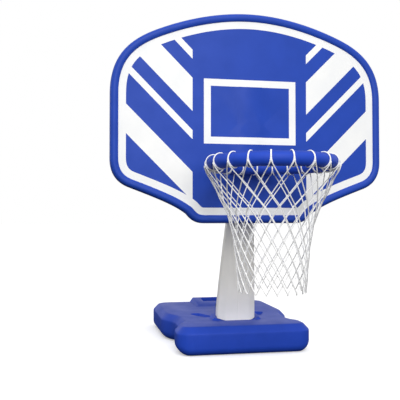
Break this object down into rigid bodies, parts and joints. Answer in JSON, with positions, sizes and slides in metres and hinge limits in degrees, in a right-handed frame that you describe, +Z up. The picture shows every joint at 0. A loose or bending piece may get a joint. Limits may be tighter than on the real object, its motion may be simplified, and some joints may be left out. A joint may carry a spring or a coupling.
{
  "type": "poolside basketball hoop",
  "caption": "Free-standing basketball hoop for a pool's edge: water-filled base tank, leaning pole, moulded backboard, tube rim on two arms and a laced cord net.",
  "frame": {"origin": "on the floor plane, on the underside of the base tank, under the pole's foot, 12 mm in front of the foot's middle", "axes": "+X across the backboard to the player's right, -Y towards the player and the water, +Z up"},
  "size_m": [0.882, 1.0999, 1.088],
  "materials": {
    "base_plastic": "deep blue moulded polyethylene, satin, sun-dulled on top",
    "board_plastic": "deep blue moulded polyethylene with printed white bands",
    "rim_plastic": "deep blue moulded polyethylene, satin",
    "pole_plastic": "light grey moulded polyethylene, satin",
    "cap_plastic": "black moulded polypropylene, fine texture",
    "seal_rubber": "black sealing rubber",
    "bolt_steel": "zinc-plated or stainless steel",
    "insert_brass": "brass threaded insert",
    "net_cord": "white polyester cord",
    "water": "tap water filled as ballast"
  },
  "bodies": {
    "hoop": {"base_tank": "base_plastic", "ballast_water": "water", "pole": "pole_plastic", "pole_top_plug": "cap_plastic", "foot_bolt_left": "bolt_steel", "foot_washer_left": "bolt_steel", "foot_insert_left": "insert_brass", "foot_bolt_right": "bolt_steel", "foot_washer_right": "bolt_steel", "foot_insert_right": "insert_brass", "backboard": "board_plastic", "lock_bolt_lower": "bolt_steel", "lock_washer_lower": "bolt_steel", "lock_insert_lower": "insert_brass", "lock_bolt_upper": "bolt_steel", "lock_washer_upper": "bolt_steel", "lock_insert_upper": "insert_brass", "rim": "rim_plastic", "rim_bolt_lower_left": "bolt_steel", "rim_front_washer_lower_left": "bolt_steel", "rim_back_washer_lower_left": "bolt_steel", "rim_nut_lower_left": "bolt_steel", "rim_bolt_lower_right": "bolt_steel", "rim_front_washer_lower_right": "bolt_steel", "rim_back_washer_lower_right": "bolt_steel", "rim_nut_lower_right": "bolt_steel", "rim_bolt_upper_left": "bolt_steel", "rim_front_washer_upper_left": "bolt_steel", "rim_back_washer_upper_left": "bolt_steel", "rim_nut_upper_left": "bolt_steel", "rim_bolt_upper_right": "bolt_steel", "rim_front_washer_upper_right": "bolt_steel", "rim_back_washer_upper_right": "bolt_steel", "rim_nut_upper_right": "bolt_steel", "net": "net_cord"},
    "fill_seal": {"fill_seal": "seal_rubber"},
    "fill_cap": {"fill_cap": "cap_plastic"},
    "drain_seal": {"drain_seal": "seal_rubber"},
    "drain_plug": {"drain_plug": "cap_plastic"}
  },
  "joints": [
    {"name": "fill_cap_lift", "type": "slide", "parent": "hoop", "child": "fill_seal", "axis": [0, 0, 1], "range_m": [0, 0.0061]},
    {"name": "fill_cap_turn", "type": "hinge", "parent": "fill_seal", "child": "fill_cap", "pos_m": [0, 0.19, 0.105], "axis": [0, 0, 1], "range_deg": [0, 540]},
    {"name": "drain_plug_travel", "type": "slide", "parent": "hoop", "child": "drain_seal", "axis": [0, 1, 0], "range_m": [0, 0.0061]},
    {"name": "drain_plug_turn", "type": "hinge", "parent": "drain_seal", "child": "drain_plug", "pos_m": [0, 0.484, 0.036], "axis": [0, 1, 0], "range_deg": [0, 540]}
  ],
  "couplings": [
    {"joint": "fill_cap_lift", "follows": "fill_cap_turn", "m_per_rad": 0.00063662},
    {"joint": "drain_plug_travel", "follows": "drain_plug_turn", "m_per_rad": 0.00063662}
  ]
}
